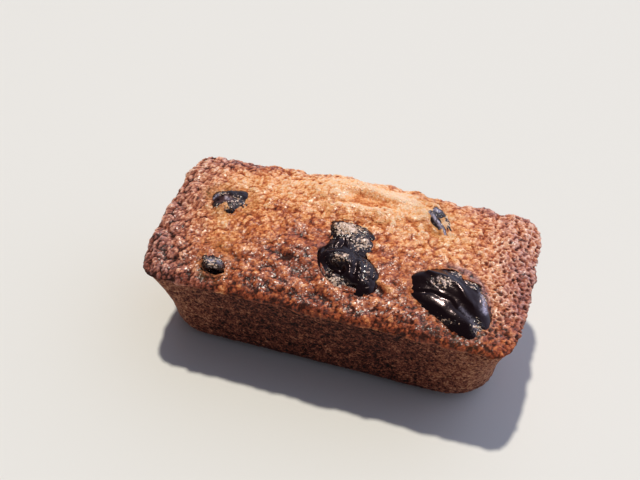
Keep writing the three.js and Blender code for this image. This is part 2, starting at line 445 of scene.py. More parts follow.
def grains(points, pitch):
    """Distances to the nearest two grains' middles, in pitches, and a value from -1 to 1 of the nearest."""
    scaled = points / pitch
    cell = np.floor(scaled).astype(np.int64)
    nearest = np.full(len(points), FAR_AWAY)
    second = np.full(len(points), FAR_AWAY)
    own = np.zeros(len(points))
    for offset in np.ndindex(3, 3, 3):
        neighbour = cell + np.array(offset) - 1
        scatter = np.column_stack([corner_value(neighbour + shift) for shift in (1000, 2000, 3000)])
        distance = np.linalg.norm(neighbour + 0.5 + GRAIN_SCATTER * scatter - scaled, axis=1)
        closer = distance < nearest
        second = np.where(closer, nearest, np.minimum(second, distance))
        own = np.where(closer, corner_value(neighbour + 5000), own)
        nearest = np.where(closer, distance, nearest)
    return nearest, second, own


def cobbles(points, pitch):
    """Round grains that touch, about 0 on the whole: high on their tops and low in the creases between."""
    nearest, _, own = grains(points, pitch)
    domes = np.sqrt(np.maximum(0, 1 - (nearest / GRAIN_REACH) ** 2))
    return domes * (1 + GRAIN_UNEVEN * own) - GRAIN_MEAN


def bubbles(points, pitch):
    """Burst bubbles of uneven depth: 0 on the thin walls between them and down to -1 inside."""
    nearest, second, own = grains(points, pitch)
    return -smooth_step(second - nearest, *BUBBLE_WALL) * np.clip(0.5 + 0.6 * own, 0, 1)


def blurred(values, quads, rounds):
    """Values smoothed over the mesh: each round gives a vertex the mean of the faces round it."""
    uses = np.bincount(quads.ravel(), minlength=len(values))
    for _ in range(rounds):
        face_means = np.repeat(values[quads].mean(axis=1), quads.shape[1])
        values = np.bincount(quads.ravel(), face_means, len(values)) / np.maximum(uses, 1)
    return values


def wobble(points, pitch, start=0):
    """A smooth random shift for each point, from -1 to 1 along each axis."""
    return np.column_stack([lumps(points + (start + shift), pitch) for shift in (0, 40, 80)])


def drawn_out(points, stretch):
    """Points that make a pattern longer along X, and slanted, when it is looked up at them."""
    return points @ np.array([[1 / stretch, SLANT, 0], [0, 1, 0], [0, 0, 1]])


crust = (1 - smooth_step(to_rim, *CRUST_BAND)) * (1 - smooth_step(below_rim, *CRUST_DROP))
wall = np.where(on_top, 0, smooth_step(below_rim, *WALL_DROP))
left_end = smooth_step(-body_points[:, 0], *LEFT_END)
right_end = smooth_step(body_points[:, 0], *RIGHT_END)
pale = np.where(on_top, bump(body_points, *PALE_CREST), 0)
wrinkled = np.where(on_top, bump(body_points, *WRINKLED_FRONT), 0) * (1 - 0.6 * crust)
open_foam = 0.06 + 0.75 * smooth_step(body_points[:, 0], *FOAM_END) + 0.1 * crust - 0.1 * left_end
open_foam = np.clip(open_foam, 0, 1)
sandy = np.where(on_top, bump(body_points, *SANDY_LEFT), 0)
front_edge = smooth_step(-body_points[:, 1], *FRONT_SIDE) * (1 - smooth_step(to_rim, *FRONT_BAND))

wave = WAVE_SIZE * wobble(body_points, WAVE_PITCH)
ripple = RIPPLE_SIZE * wobble(body_points, RIPPLE_PITCH, RIPPLE_SHIFT)
slanted = drawn_out(body_points, WRINKLE_STRETCH)
stretched = drawn_out(body_points, GRAIN_STRETCH)
wrinkle = lumps(slanted + 0.5 * wave, WRINKLE_PITCH)
cluster = cobbles(body_points + 0.5 * wave + ripple, CLUSTER_PITCH)
round_grain = cobbles(body_points + 0.3 * wave + ripple, GRAIN_PITCH)
long_grain = cobbles(stretched + 0.3 * wave + ripple, GRAIN_PITCH)
grain = blend(round_grain, long_grain, np.clip(1.3 * wrinkled, 0, 1))
fine_grain = cobbles(body_points + ripple, FINE_PITCH)
bubble = bubbles(body_points + 0.3 * wave + ripple, BUBBLE_PITCH)

calm = (1 - 0.8 * pale) * (1 - 0.4 * wrinkled)
along_ledge = body_points[:, 0] - LEDGE_MIDDLE[0]
ledge_line = LEDGE_MIDDLE[1] + LEDGE_SLANT * along_ledge
before_ledge = ledge_line - body_points[:, 1] + 0.8 * wave[:, 1] + ripple[:, 1]
ledge = smooth_step(before_ledge, *LEDGE_FACE) * (1 - smooth_step(before_ledge, *LEDGE_BACK))
burst = np.where(on_top, LEDGE_RISE * ledge * np.exp(-((along_ledge / LEDGE_HALF) ** 2)), 0)
soft_lumps = bump(body_points, *SOFT_LUMP_PLACE) * cobbles(body_points + wave, SOFT_LUMP_PITCH)
burst += np.where(on_top, SOFT_LUMP * soft_lumps, 0)
holes = [(hole, HOLE_HALF, HOLE_DEPTH) for hole in HOLES]
for middle, half, size in (RECESS, RECESS_END, BULGE, *holes):
    burst += np.where(on_top, size * bump(body_points + 0.6 * wave, middle, half), 0)
top_relief = (
    blend(TOP_CLUSTER, blend(RIM_CLUSTER, LEFT_CLUSTER, left_end), crust) * (1 - 0.4 * pale) * cluster
    + blend(TOP_GRAIN, RIM_GRAIN + 0.1 * left_end, crust) * calm * (1 - 0.45 * sandy) * grain
    + blend(TOP_FINE, RIM_FINE, crust) * (1 - 0.4 * pale + 0.5 * sandy) * fine_grain
    + BUBBLE_DEPTH * open_foam * calm * (bubble + BUBBLE_MEAN)
    + WRINKLE_SIZE * wrinkled * wrinkle
    + burst
) * (1 - 0.4 * front_edge)
wall_relief = WALL_GRAIN * grain + WALL_FINE * fine_grain + WALL_BUBBLE * bubble
lip = LIP_OUT * np.exp(-((below_rim - LIP_DROP) ** 2)) * ~on_top
relief = blend(top_relief, wall_relief, wall) + lip
nearest_fruit = np.min(list(fruit_edge.values()), axis=0)
relief = np.where(nearest_fruit > 0, np.maximum(relief, -FRUIT_SLOPE * nearest_fruit), relief)
relief *= crumb_shown * smooth_step(body_points[:, 2], *BASE_BAND)
# How far each point lies below the smoothed relief round it: the material darkens hollows as painted shade.
hollow = np.zeros(len(body_points))
for rounds, depth, share in HOLLOW_SCALES:
    hollow += share * np.clip((blurred(relief, body_quads, rounds) - relief) / depth, -1, 1)
hollow *= (1 - 0.5 * pale) * (1 - 0.3 * crust * right_end)

body_points += vertex_normals(body_points, body_quads) * relief[:, None]
body_points[:, 2] = np.maximum(body_points[:, 2], 0)
skin_normals = vertex_normals(body_points, body_quads)
film_normals = np.column_stack([blurred(side, body_quads, FILM_ROUNDS) for side in skin_normals.T])


# Cake body: browning, painted light, butter and juice
# The rim and the front baked darkest, the burst crest stayed pale. Butter came up as a shiny film, mostly
# on the front half. Juice of the fruit stained the crumb beside it, and smeared one edge grey. Light and
# shade
# are painted in too: deeper orange on the crest's shaded slopes and recess, lighter end walls, and a
# pinkish sheen on the crust's ends.

# Each patch has its middle, its half sizes and how much browner it is than the crumb round it.
PATCHES = (
    ((5.0, 12.5), (14.0, 6.0), -0.50),
    ((-18.0, 12.0), (10.0, 5.0), -0.10),
    ((-30.0, 17.5), (8.0, 2.5), 0.34),
    ((-32.0, -6.0), (7.0, 8.0), -0.12),
    ((-9.0, 2.5), (5.0, 3.0), -0.08),
    ((-11.0, -9.0), (8.0, 3.5), 0.08),
    ((27.0, 3.0), (9.0, 6.0), -0.08),
    ((12.0, 4.5), (9.0, 4.5), -0.10),
    ((-24.0, -5.0), (9.0, 6.0), -0.10),
    # Painted glow in shade: the recess under the crest is a deeper orange.
    ((3.2, 10.6), (4.6, 1.6), 0.46),
    ((-7.0, 10.5), (4.0, 3.5), 0.10),
    ((-16.8, 3.9), (1.2, 1.0), 0.42),
    ((-21.9, -19.9), (1.1, 0.9), -0.60),
    ((10.7, -19.4), (1.6, 0.8), -0.30),
    ((36.0, -6.0), (5.0, 8.0), -0.18),
    ((26.0, -18.5), (8.0, 2.0), 0.12),
    ((-8.0, -5.0), (6.0, 4.0), 0.09),
    ((-22.0, -17.0), (5.0, 2.0), -0.10),
    ((-34.0, 2.0), (4.0, 5.0), 0.06),
)
BROWNING = 0.50
BROWNING_TO_FRONT = 0.010
CRUST_BROWNING = 0.14
WRINKLE_BROWNING = 0.10
BLOTCHES = ((0, 5.5, 0.09), (30, 2.3, 0.14))
SLOPE_BROWNING = 0.32
SLOPE_BAND = (0.05, 0.40)
BACK_RIM_BROWNING = 0.25
BACK_SIDE = (17.5, 20.0)
BACK_BAND = (0.2, 1.6)
SMEAR_LINE = ((24.5, -2.0), (28.2, -2.7), (31.3, -5.0), (33.7, -8.0))
SMEAR_WIDTH = 1.2
SMEAR_BROWNING = 0.20
SMEAR_DRYNESS = 0.6
WALL_TAN = 0.37
END_TAN = 0.51
LEFT_WALL = (16, 42)
RIGHT_WALL = (14, 40)
TAN_BLOTCHES = ((30, 6.0, 0.07), (0, 1.5, 0.06))
LOW_WALL = (0, 6)
LOW_WALL_TAN = -0.12
# Painted shade: hollows in the walls are darker.
HOLLOW_TAN = -0.20
BUTTER = 0.42
BUTTER_BLOTCHES = ((90, 1.0, 0.8),)
JUICE_PLACES = (((-25.5, -9.5), (4.5, 5.0), 0.45), ((31.5, -3.6), (5.0, 2.2), 0.30))
JUICE_SPREAD = 2.6
JUICE_SPREAD_BLOTCHES = ((0, 3.0, 1.2),)
JUICE_BLOTCHES = ((60, 1.1, 0.8),)
STAINED = {
    "fruit_back_left": 0.8,
    "fruit_front_left": 0.4,
    "fruit_back_right": 0.7,
    "fruit_front_right": 0.15,
}
DRY_FRONT_END = (7, 15)
SIDE_HEIGHT = 0.24
BASE_PLACE = (0.75, 0.115)


def line_distance(points, line):
    """Distance of each point, seen from above, to a line through the given places."""
    nearest = np.full(len(points), FAR_AWAY)
    for start, end in zip(line, line[1:]):
        offset = points[:, :2] - np.array(start)
        run = np.array(end) - np.array(start)
        share = np.clip(offset @ run / (run @ run), 0, 1)
        nearest = np.minimum(nearest, np.linalg.norm(offset - share[:, None] * run, axis=1))
    return nearest


def stripe(points, line, width):
    """1 on a line, seen from above, and fading beside it."""
    return np.exp(-((line_distance(points, line) / width) ** 2))


def blotches(points, layers):
    """Random blotches added up, from layers that each have a shift, a pitch and a size."""
    return sum(size * lumps(points + shift, pitch) for shift, pitch, size in layers)


browning = BROWNING - BROWNING_TO_FRONT * body_points[:, 1] + blotches(body_points, BLOTCHES)
browning += CRUST_BROWNING * crust + WRINKLE_BROWNING * wrinkled
for middle, half, change in PATCHES:
    browning += change * np.where(wall < 0.5, bump(body_points, middle, half), 0)
# Painted glow in shade: on the pale crest, slopes that face the front, away from the key light, get a
# deeper orange.
browning += SLOPE_BROWNING * pale * smooth_step(-film_normals[:, 1], *SLOPE_BAND)
back_rim = smooth_step(body_points[:, 1], *BACK_SIDE) * (1 - smooth_step(to_rim, *BACK_BAND))
browning += BACK_RIM_BROWNING * back_rim
smear = stripe(body_points, SMEAR_LINE, SMEAR_WIDTH) * on_top
browning += SMEAR_BROWNING * smear

left_wall = smooth_step(-body_points[:, 0], *LEFT_WALL)
right_wall = smooth_step(body_points[:, 0], *RIGHT_WALL)
# Painted light: the end walls, which light from the sides reaches, are lighter than the long walls.
tan = WALL_TAN + END_TAN * (left_wall + right_wall) + blotches(body_points, TAN_BLOTCHES)
# Painted shade: hollows in the wall are darker. The wall is also darker towards the bottom.
tan += LOW_WALL_TAN * (1 - smooth_step(body_points[:, 2], *LOW_WALL)) + HOLLOW_TAN * hollow

juice = np.zeros(len(body_points))
for middle, half, strength in JUICE_PLACES:
    juice += strength * bump(body_points, middle, half) * on_top
juice_spread = JUICE_SPREAD + blotches(body_points, JUICE_SPREAD_BLOTCHES)
for fruit_name, strength in STAINED.items():
    halo = np.exp(-((np.maximum(fruit_edge[fruit_name], 0) / juice_spread) ** 2))
    juice = np.maximum(juice, strength * halo)
juice *= np.clip(0.7 + blotches(body_points, JUICE_BLOTCHES), 0, 1)

butter = BUTTER + 0.4 * wrinkled + 0.2 * crust - 0.3 * pale - 0.3 * sandy
butter += blotches(body_points, BUTTER_BLOTCHES) - 0.5 * bump(body_points, *RECESS[:2])
butter = np.clip(butter, 0, 1) * (1 - wall) * (1 - 0.85 * np.clip(1.5 * hollow, 0, 1))
butter *= (1 - 0.7 * juice) * (1 - 0.7 * front_edge)

# The crust's ends turn a pinkish grey: partly the colour of dry crust, partly painted sheen. The smear is
# greyed the same way.
dry_right = right_end * (1 - smooth_step(-body_points[:, 1], *DRY_FRONT_END))
dry = crust * (0.28 * left_end + 0.17 * dry_right) + SMEAR_DRYNESS * smear
# Partly a pale bloom on dry crust, partly painted sheen: the tips between hollows at the crust's ends turn
# pinkish lilac.
bloom = np.clip(-1.5 * hollow, 0, 1) * (1 - wall)
bloom *= 0.04 + crust * (0.65 * dry_right + 0.35 * left_end)


def bake_map():
    """A flat place on a unit square for every face corner: the top above, the walls and base below."""
    top_map = np.column_stack([(top_u + 1) / 2, 0.5 + (top_v + 1) / 4])[top_quads]
    wall_map = []
    down = np.linspace(1, 0, WALL_ROWS + 1)
    # Each side has its number of steps, its left end, its lower edge and its width on the square.
    sides = (
        (LENGTH_STEPS, 0.0, 0.25, 0.48),
        (WIDTH_STEPS, 0.0, 0.0, 0.23),
        (LENGTH_STEPS, 0.5, 0.25, 0.48),
        (WIDTH_STEPS, 0.25, 0.0, 0.23),
    )
    for steps, start, low, width in sides:
        run = start + width * np.arange(steps + 1) / steps
        across, height = np.meshgrid(run, low + SIDE_HEIGHT * down)
        flat = np.stack([across, height], axis=2)
        wall_map.append(np.stack([flat[:-1, :-1], flat[1:, :-1], flat[1:, 1:], flat[:-1, 1:]], axis=2))
    walls = np.concatenate(wall_map, axis=1)
    base = np.array(BASE_PLACE) + body_points[base_fan][:, :, :2] / (2 * RIM_LENGTH)
    return np.concatenate([top_map.reshape(-1, 2), walls.reshape(-1, 2), base.reshape(-1, 2)])


def new_piece(name, points, faces):
    """A smooth mesh object from points in millimetres."""
    mesh = bpy.data.meshes.new(name)
    mesh.from_pydata((points * MM).tolist(), [], faces)
    mesh.shade_smooth()
    piece = bpy.data.objects.new(name, mesh)
    bpy.context.scene.collection.objects.link(piece)
    return piece


def paint(piece, **layers):
    """Stores one value or way for each vertex under each name, for the material to read."""
    for name, values in layers.items():
        kind, field = ("FLOAT", "value") if values.ndim == 1 else ("FLOAT_VECTOR", "vector")
        layer = piece.data.attributes.new(name, kind, "POINT")
        layer.data.foreach_set(field, values.astype(np.float32).ravel())


cake = new_piece("cake_crumb", body_points, body_quads.tolist() + base_fan.tolist())
cake.data.uv_layers.new(name="OFBake").data.foreach_set("uv", bake_map().astype(np.float32).ravel())
paint(cake, browning=browning, hollow=hollow, juice=juice, bloom=bloom, dry=dry, wall=wall, tan=tan)
paint(cake, butter=butter, film_normal=film_normals)


# Cake body: material
# Baked almond crumb: its colour runs from pale yellow through golden and red brown to a dark crust.
# It is dry and rough on the walls, and buttery on the top, where the grains catch small bright glints.

CRUMB_COLOURS = (
    (0.00, (1.0, 0.64, 0.41)),
    (0.20, (0.98, 0.46, 0.195)),
    (0.45, (0.64, 0.186, 0.057)),
    (0.70, (0.34, 0.066, 0.023)),
    (1.00, (0.050, 0.012, 0.007)),
)
WALL_COLOURS = (
    (0.00, (0.004, 0.0015, 0.0015)),
    (0.24, (0.055, 0.012, 0.008)),
    (0.35, (0.105, 0.026, 0.016)),
    (0.49, (0.170, 0.048, 0.028)),
    (0.60, (0.250, 0.083, 0.046)),
    (0.74, (0.350, 0.140, 0.078)),
    (1.00, (0.520, 0.250, 0.140)),
)
JUICE_COLOUR = (0.50, 0.25, 0.075, 1)
# Pinkish grey of dry crust, which on the crust's ends also stands for painted sheen.
DRY_TINT = (1.45, 0.86, 0.84, 1)
# Colour of the bloom on the crust's tips, which also stands for painted sheen.
BLOOM_COLOUR = (0.78, 0.55, 0.60, 1)
# Painted shade: crumb in hollows moves this far down the colour ramp, to a darker brown.
HOLLOW_BROWNING = 0.46
FINE_SCALE = 2600
COARSE_SCALE = 800
GRAIN_SCALE = 1900
# Each speckle has its strength on the top and on the walls.
FINE_SPECKLE = (0.5, 2.2)
COARSE_SPECKLE = (0.3, 1.6)
GRAIN_SPECKLE = (0.22, 0.35)
FOAM_SCALE = 900
FOAM_MIDDLE = 0.17
FOAM_TAN = 1.3
FOAM_BEND = 0.8
TAN_SHARE = 0.7
JUICE_SHARE = 0.5
COARSE_HEIGHT = 0.6
GLINT_SCALE = 3000
GLINT_TILT = 0.46
DRY_ROUGHNESS = 0.72
BUTTER_GLOSS = 0.35
CRUMB_BUMP = {"Strength": 1.0, "Distance": 0.0004}
CRUMB_SURFACE = {
    "Coat Roughness": 0.31,
    "Coat IOR": 1.58,
    "Specular IOR Level": 0.12,
    "Subsurface Weight": 0.2,
    "Subsurface Radius": (1.0, 0.6, 0.3),
    "Subsurface Scale": 0.0008,
}


def fill(tree, node, inputs):
    """Inputs of a node take sockets, which are linked, or plain values, which are set."""
    for name, value in inputs.items():
        if isinstance(value, bpy.types.NodeSocket):
            tree.links.new(value, node.inputs[name])
        else:
            node.inputs[name].default_value = value


def add(tree, kind, inputs=None, **settings):
    """A new node with its inputs and settings."""
    node = tree.nodes.new(kind)
    for name, value in settings.items():
        setattr(node, name, value)
    fill(tree, node, inputs or {})
    return node


def math_node(tree, operation, *values):
    return add(tree, "ShaderNodeMath", dict(enumerate(values)), operation=operation).outputs[0]


def mix_colour(tree, share, first, second, kind="MIX"):
    node = add(tree, "ShaderNodeMix", {0: share, 6: first, 7: second}, data_type="RGBA", blend_type=kind)
    return node.outputs[2]


def noise(tree, scale, detail=2.0):
    place = add(tree, "ShaderNodeTexCoord").outputs["Object"]
    node = add(tree, "ShaderNodeTexNoise", {"Vector": place, "Scale": scale, "Detail": detail})
    return node.outputs["Fac"]


def cells(tree, scale):
    """A random colour for each of the small cells that a surface breaks into."""
    place = add(tree, "ShaderNodeTexCoord").outputs["Object"]
    return add(tree, "ShaderNodeTexVoronoi", {"Vector": place, "Scale": scale}).outputs["Color"]


def foam(tree, scale):
    """Uneven burst bubbles: 0 on the thin walls between them, up to about 0.5 inside."""
    place = add(tree, "ShaderNodeTexCoord").outputs["Object"]
    swirl = add(tree, "ShaderNodeTexNoise", {"Vector": place, "Scale": scale}).outputs["Color"]
    bend = FOAM_BEND / scale
    bent = {0: swirl, 1: (bend, bend, bend), 2: place}
    bent = add(tree, "ShaderNodeVectorMath", bent, operation="MULTIPLY_ADD").outputs[0]
    node = add(tree, "ShaderNodeTexVoronoi", {"Vector": bent, "Scale": scale}, feature="DISTANCE_TO_EDGE")
    return node.outputs["Distance"]


def facets(tree, normal, scale, tilt):
    """A normal that is tilted at random from cell to cell, as on broken film."""
    aside = {0: cells(tree, scale), 1: (0.5, 0.5, 0.5)}
    aside = add(tree, "ShaderNodeVectorMath", aside, operation="SUBTRACT")
    tilted = {0: aside.outputs[0], 1: (tilt, tilt, tilt), 2: normal}
    tilted = add(tree, "ShaderNodeVectorMath", tilted, operation="MULTIPLY_ADD")
    return add(tree, "ShaderNodeVectorMath", {0: tilted.outputs[0]}, operation="NORMALIZE").outputs[0]


def colour_ramp(tree, value, stops):
    """The colour at a value, between stops that each have a place and a colour."""
    node = add(tree, "ShaderNodeValToRGB", {"Fac": value})
    elements = node.color_ramp.elements
    while len(elements) < len(stops):
        elements.new(1.0)
    for element, (place, colour) in zip(elements, stops):
        element.position = place
        element.color = (*colour, 1)
    return node.outputs["Color"]


def new_group(name, inputs, outputs):
    """A shader node group with float inputs and the named outputs. Returns it with its two end nodes."""
    tree = bpy.data.node_groups.new(name, "ShaderNodeTree")
    for socket in inputs:
        tree.interface.new_socket(socket, in_out="INPUT", socket_type="NodeSocketFloat")
    for socket, kind in outputs.items():
        tree.interface.new_socket(socket, in_out="OUTPUT", socket_type=kind)
    return tree, tree.nodes.new("NodeGroupInput").outputs, tree.nodes.new("NodeGroupOutput").inputs


CRUMB_INPUTS = ("Browning", "Hollow", "Juice", "Bloom", "Dry", "Wall", "Tan")


def crumb_group():
    """Baked crumb: colour and fine height from how brown, hollow and stained it is, with painted shade and
    sheen.
    """
    outputs = {"Colour": "NodeSocketColor", "Height": "NodeSocketFloat"}
    tree, given, made = new_group("baked crumb", CRUMB_INPUTS, outputs)
    fine = noise(tree, FINE_SCALE, 3)
    coarse = noise(tree, COARSE_SCALE, 2)
    grain = add(tree, "ShaderNodeSeparateColor", {"Color": cells(tree, GRAIN_SCALE)}).outputs["Red"]
    # Painted shade: hollows are darker.
    brown = math_node(tree, "MULTIPLY_ADD", given["Hollow"], HOLLOW_BROWNING, given["Browning"])
    foam_walls = math_node(tree, "SUBTRACT", FOAM_MIDDLE, foam(tree, FOAM_SCALE))
    tan = math_node(tree, "MULTIPLY_ADD", foam_walls, FOAM_TAN, given["Tan"])
    speckles = ((fine, FINE_SPECKLE), (coarse, COARSE_SPECKLE), (grain, GRAIN_SPECKLE))
    for speckle, (top_strength, wall_strength) in speckles:
        change = math_node(tree, "SUBTRACT", speckle, 0.5)
        brown = math_node(tree, "MULTIPLY_ADD", change, top_strength, brown)
        tan = math_node(tree, "MULTIPLY_ADD", change, wall_strength, tan)
    colour = colour_ramp(tree, brown, CRUMB_COLOURS)
    brightness = add(tree, "ShaderNodeRGBToBW", {"Color": colour}).outputs[0]
    # Dry crust and painted sheen: a pinkish grey of the same brightness.
    dry_colour = mix_colour(tree, 1.0, brightness, DRY_TINT, "MULTIPLY")
    colour = mix_colour(tree, given["Dry"], colour, dry_colour)
    wall_colour = colour_ramp(tree, math_node(tree, "MULTIPLY", tan, TAN_SHARE), WALL_COLOURS)
    colour = mix_colour(tree, given["Wall"], colour, wall_colour)
    # Partly bloom, partly painted sheen on the crust's tips.
    colour = mix_colour(tree, math_node(tree, "MULTIPLY", given["Bloom"], fine), colour, BLOOM_COLOUR)
    juice_share = math_node(tree, "MULTIPLY", given["Juice"], JUICE_SHARE)
    colour = mix_colour(tree, juice_share, colour, JUICE_COLOUR)
    tree.links.new(colour, made["Colour"])
    tree.links.new(math_node(tree, "MULTIPLY_ADD", coarse, COARSE_HEIGHT, fine), made["Height"])
    return tree


def new_material(name):
    """A new material, its node tree and its surface shader."""
    material = bpy.data.materials.new(name)
    material.use_nodes = True
    return material, material.node_tree, material.node_tree.nodes["Principled BSDF"]


def attribute(tree, name, kind="Fac"):
    """A value that was painted on a piece's vertices."""
    return add(tree, "ShaderNodeAttribute", attribute_name=name).outputs[kind]


baked_crumb = crumb_group()


def cake_material():
    material, tree, surface = new_material("baked almond crumb")
    crumb = add(tree, "ShaderNodeGroup", node_tree=baked_crumb)
    for socket in CRUMB_INPUTS:
        tree.links.new(attribute(tree, socket.lower()), crumb.inputs[socket])
    film = attribute(tree, "butter")
    rough = math_node(tree, "SUBTRACT", DRY_ROUGHNESS, math_node(tree, "MULTIPLY", film, BUTTER_GLOSS))
    rough_relief = {"Height": crumb.outputs["Height"], **CRUMB_BUMP}
    rough_normal = add(tree, "ShaderNodeBump", rough_relief).outputs["Normal"]
    film_way = {0: attribute(tree, "film_normal", "Vector")}
    to_world = {"vector_type": "NORMAL", "convert_from": "OBJECT", "convert_to": "WORLD"}
    film_way = add(tree, "ShaderNodeVectorTransform", film_way, **to_world).outputs[0]
    film_normal = facets(tree, film_way, GLINT_SCALE, GLINT_TILT)
    fill(tree, surface, {
        "Base Color": crumb.outputs["Colour"],
        "Roughness": rough,
        "Coat Weight": film,
        "Normal": rough_normal,
        "Coat Normal": film_normal,
        **CRUMB_SURFACE,
    })
    return material


cake.data.materials.append(cake_material())
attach(cake, "root")
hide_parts("cake_body")


# Fruit
# Five dark, collapsed pieces of fruit, cooked soft and shiny, held by the crumb that set round them. Their
# skins fell into lumps, creases, ridges and flats. Sticky grains of dried juice and a pale waxy bloom cling
# to parts of them. Some pale streaks drawn like the bloom are painted reflections of the cool surround.

# Places are in millimetres on the cake. A line of "lines", or of wax and painted sheen, ends with its width
# and its height or strength, a spot of "sugary" or "dusky" with its half sizes and strength. A flat runs
# from place to place, and ends with its width and the slope that it takes off.
FRUIT_LOOK = {
    "fruit_front_right": {
        "lump": 0.04, "fold": 0.04, "rough": 0.17,
        "lines": (
            (((18.1, -10.7), (22.0, -10.6), (26.2, -11.8), (29.1, -13.3), (33.0, -15.3)), 0.5, -0.25),
            (((20.5, -5.6), (24.8, -6.8), (27.8, -8.3), (31.0, -11.0)), 0.7, 0.32),
            (((29.0, -6.0), (32.1, -8.0), (33.6, -10.5)), 0.4, 0.30),
        ),
        "sugary": (
            ((24.0, -8.0), (3.2, 1.4), 0.55),
            ((33.4, -15.4), (1.8, 2.0), 0.65),
            ((29.5, -4.6), (4.5, 1.6), 0.90),
            ((33.6, -7.6), (1.5, 2.6), 0.80),
            ((25.0, -15.6), (6.0, 0.8), 0.45),
            ((31.0, -7.3), (1.6, 0.5), 0.7),
        ),
        "flats": (((21.0, -11.7), (29.4, -14.6), 1.2, 0.31),),
        # Painted reflections: the pale blue strip at the right edge and the lilac streak below stand for
        # the sky on wet skin.
        "waxy": (
            (((33.0, -8.0), (34.0, -11.4)), 0.70, 1.0),
            (((29.2, -12.8), (31.4, -13.9), (33.4, -15.2)), 0.40, 0.35),
        ),
    },
    "fruit_centre": {
        "lump": 0.60, "fold": 0.25, "rough": 0.20,
        "lines": (
            (((-3.5, -5.5), (0.5, -4.0), (4.0, -4.2), (8.0, -4.6)), 0.9, -0.3),
            (((4.6, -5.0), (5.2, -9.0), (6.4, -13.5)), 0.7, -0.4),
            (((-0.6, -9.8), (1.6, -10.2)), 1.5, -1.7),
            (((4.4, -13.0), (5.6, -13.6)), 1.0, -0.9),
        ),
        "sugary": (
            ((0.6, 1.4), (4.5, 2.6), 0.95),
            ((4.8, -1.6), (3.0, 2.6), 0.7),
            ((7.8, -8.5), (2.2, 6.0), 0.36),
            ((1.4, -13.4), (4.2, 2.0), 0.80),
            ((1.4, -7.7), (2.8, 1.3), 0.65),
            ((-1.6, -11.4), (2.0, 1.6), 0.5),
        ),
    },
    "fruit_back_left": {
        "lump": 0.45, "fold": 0.20, "rough": 0.24,
        "lines": ((((-32.5, 3.0), (-28.5, 3.4), (-25.0, 4.6)), 0.7, -0.4),),
        "sugary": (
            ((-28.8, 0.8), (4.0, 1.5), 0.58),
            ((-26.2, 3.0), (3.2, 2.8), 0.50),
            ((-31.0, 5.0), (2.0, 0.9), 0.5),
        ),
        "dusky": (((-29.5, 3.2), (2.5, 1.7), 1.0),),
        # Painted highlights: small violet streaks.
        "waxy": (
            (((-32.4, 3.6), (-31.6, 4.6)), 0.40, 0.7),
            (((-29.3, 3.7), (-28.7, 3.4)), 0.40, 0.5),
        ),
    },
    "fruit_front_left": {
        "lump": 0.90, "fold": 0.60, "rough": 0.22,
        "lines": (
            (((-26.2, -16.0), (-23.6, -15.7)), 0.45, 0.85),
            (((-26.0, -17.0), (-23.4, -16.6)), 0.6, -0.9),
        ),
        "sugary": (((-24.9, -15.8), (1.8, 0.5), 0.7), ((-25.6, -14.8), (3.0, 1.6), 0.55)),
        "waxy": (
            (((-26.4, -14.8), (-25.6, -14.9)), 0.40, 0.5),
            (((-24.4, -14.6), (-24.0, -15.0)), 0.30, 0.5),
        ),
    },
    "fruit_back_right": {
        "lump": 0.45, "fold": 0.40, "rough": 0.50,
        "lines": (
            (((17.0, 11.4), (19.1, 9.2), (21.8, 6.6)), 0.45, 0.55),
            (((15.6, 10.2), (17.6, 7.8), (19.2, 6.6)), 0.6, -0.45),
        ),
        "sugary": (((20.8, 9.8), (1.6, 3.0), 0.62), ((18.4, 10.8), (2.2, 3.0), 0.40)),
        "waxy": (
            (((16.6, 11.6), (19.1, 9.2), (22.2, 6.2)), 0.30, 1.0),
            (((17.4, 13.4), (18.8, 12.8)), 0.55, 0.9),
        ),
    },
}
FINER_LEVELS = 3
JOIN_DISTANCE = 0.00001
ABOVE_CRUMB = (-1.0, 0.6)
SKIN_LUMP_PITCH = 2.1
SKIN_LUMP_WAVE = 0.7
SKIN_WAVE_PITCH = 2.4
SKIN_WAVE = 0.4
SKIN_RIPPLE_PITCH = 0.5
SKIN_RIPPLE_SHIFT = 20
SKIN_RIPPLE = 0.2
FOLD_PITCH = 1.5
FOLD_STRETCH = 3.5
FOLD_MIDDLE = 0.3
GRIT_PITCH = 0.50
GRIT_SIZE = 0.24
GRIT_BAND = (0.15, 0.45)
GRIT_ROUGHNESS = 0.15
GRIT_GLOSS = 0.5
DUSK_BLOTCHES = ((15, 0.9, 0.35),)
DUSK_BAND = (0.3, 0.7)
DUSK_ROUGHNESS = 0.15
WAX_BAND = (0.30, 0.55)
SPECK_BAND = (0.78, 0.84)
SKIN_FINE_SCALE = 2400
SPECK_SCALE = 1800
SUGAR_SCALE = 1400
SUGAR_SHARE = 0.5
SKIN_GLINT_SCALE = 2600
SKIN_GLINT_TILT = 0.9
SKIN_COLOUR = (0.0055, 0.0017, 0.0026, 1)
DUSK_COLOUR = (0.13, 0.055, 0.058, 1)
WAX_COLOUR = (0.52, 0.47, 0.62, 1)
SUGAR_COLOUR = (0.90, 0.68, 0.56, 1)
OCHRE_COLOUR = (0.34, 0.18, 0.09, 1)
SHEEN_COLOUR = (1.0, 0.74, 0.76, 1)
SKIN_BUMP = {"Strength": 0.25, "Distance": 0.0001}
SKIN_SURFACE = {
    "Coat Roughness": 0.15,
    "Coat IOR": 1.6,
    "Specular IOR Level": 0.42,
    "Specular Tint": SHEEN_COLOUR,
}


